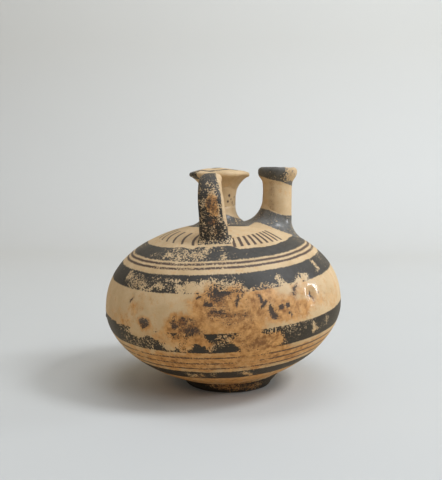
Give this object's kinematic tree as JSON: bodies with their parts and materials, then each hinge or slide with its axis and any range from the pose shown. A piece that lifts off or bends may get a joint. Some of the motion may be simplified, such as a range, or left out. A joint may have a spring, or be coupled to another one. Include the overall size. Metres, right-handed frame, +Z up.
{
  "type": "stirrup jar",
  "caption": "Squat globular clay jar on a ring foot, closed by a false neck under a disc, with strap handles from disc to shoulder and an upright flared spout for pouring oil.",
  "frame": {"origin": "centre of the ring foot's resting face", "axes": "+Z up, +X towards the spout, the handles towards -Y and +Y"},
  "size_m": [0.1154, 0.1154, 0.106],
  "materials": {
    "painted_clay": "buff fired clay with bands of worn semi-gloss black-brown slip",
    "luting_clay": "luting clay smoothed over and painted with the same dark slip"
  },
  "bodies": {
    "root": {"thrown_body": "painted_clay", "ring_foot": "painted_clay", "false_neck": "painted_clay", "neck_luting": "luting_clay", "false_mouth_disc": "painted_clay", "front_handle": "painted_clay", "front_handle_luting": "luting_clay", "rear_handle": "painted_clay", "rear_handle_luting": "luting_clay", "pouring_spout": "painted_clay", "spout_luting": "luting_clay"}
  },
  "joints": []
}
